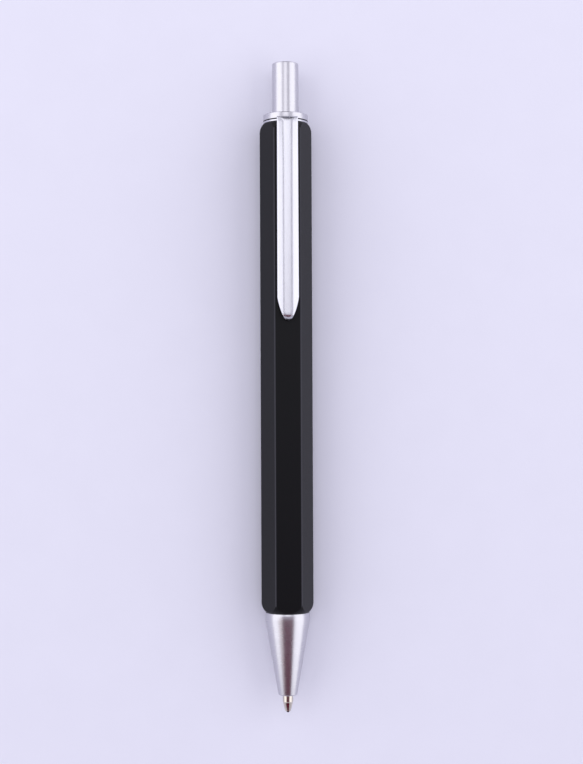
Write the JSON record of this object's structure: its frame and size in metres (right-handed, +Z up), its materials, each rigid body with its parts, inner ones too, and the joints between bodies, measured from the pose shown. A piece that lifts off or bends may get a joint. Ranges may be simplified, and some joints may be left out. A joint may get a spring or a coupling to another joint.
{
  "type": "pushbutton ballpoint pen",
  "caption": "Pushbutton ballpoint pen with a matte black hexagonal metal barrel, satin metal nose cone, collar and button, and a polished spring clip; the point is out.",
  "frame": {"origin": "middle of the pen's length and width, on the surface it lies on", "axes": "+Y along the pen from the writing point to the push button, +Z up through the clip, -Z out of the flat it lies on"},
  "size_m": [0.011, 0.1372, 0.0117],
  "materials": {
    "barrel_lacquer": "matte black lacquer",
    "satin_chrome": "satin",
    "dark_trim": "black",
    "polished_steel": "polished",
    "white_plastic": "moulded",
    "black_plastic": "moulded",
    "spring_steel": "drawn wire",
    "brass": "drawn tube",
    "refill_metal": "nickelled",
    "ink": "wet",
    "grease": "clear grease",
    "nickel_silver": "turned",
    "carbide": "ground ball"
  },
  "bodies": {
    "barrel": {"barrel": "barrel_lacquer", "collar": "satin_chrome", "clip_ring": "polished_steel", "mechanism_sleeve": "brass", "latch_wire": "spring_steel"},
    "refill": {"cam_slider": "white_plastic", "refill_tube": "refill_metal", "refill_plug": "black_plastic", "ink_column": "ink", "ink_follower": "grease", "point_holder": "refill_metal", "writing_point": "nickel_silver"},
    "button": {"push_button": "satin_chrome", "button_plunger": "white_plastic", "button_spring": "spring_steel"},
    "clip": {"clip_arm": "polished_steel"},
    "nose_thread": {"nose_trim_ring": "dark_trim"},
    "nose": {"nose_cone": "satin_chrome", "refill_spring": "spring_steel"},
    "ball": {"writing_ball": "carbide"}
  },
  "joints": [
    {"name": "refill_slide", "type": "slide", "parent": "barrel", "child": "refill", "axis": [0, 1, 0], "range_m": [-0.0012, 0.005], "deforming": ["refill_spring", "latch_wire"]},
    {"name": "button_press", "type": "slide", "parent": "refill", "child": "button", "axis": [0, -1, 0], "range_m": [0, 0.005], "stiffness_N_per_m": 60, "springref_m": -0.005, "deforming": ["button_spring"]},
    {"name": "clip_flex", "type": "hinge", "parent": "barrel", "child": "clip", "pos_m": [0, 0.05538, 0.011], "axis": [-1, 0, 0], "range_deg": [0, 4], "stiffness_Nm_per_rad": 5, "springref_deg": -1.15},
    {"name": "nose_advance", "type": "slide", "parent": "barrel", "child": "nose_thread", "axis": [0, -1, 0], "range_m": [0, 0.006]},
    {"name": "nose_turn", "type": "hinge", "parent": "nose_thread", "child": "nose", "pos_m": [0, -0.05, 0.0048], "axis": [0, -1, 0], "range_deg": [0, 2881]},
    {"name": "ball_roll", "type": "hinge", "parent": "refill", "child": "ball", "pos_m": [0, -0.06828, 0.0048], "axis": [1, 0, 0], "continuous": true}
  ],
  "couplings": [
    {"joint": "nose_turn", "follows": "nose_advance", "rad_per_m": 8377.6}
  ]
}
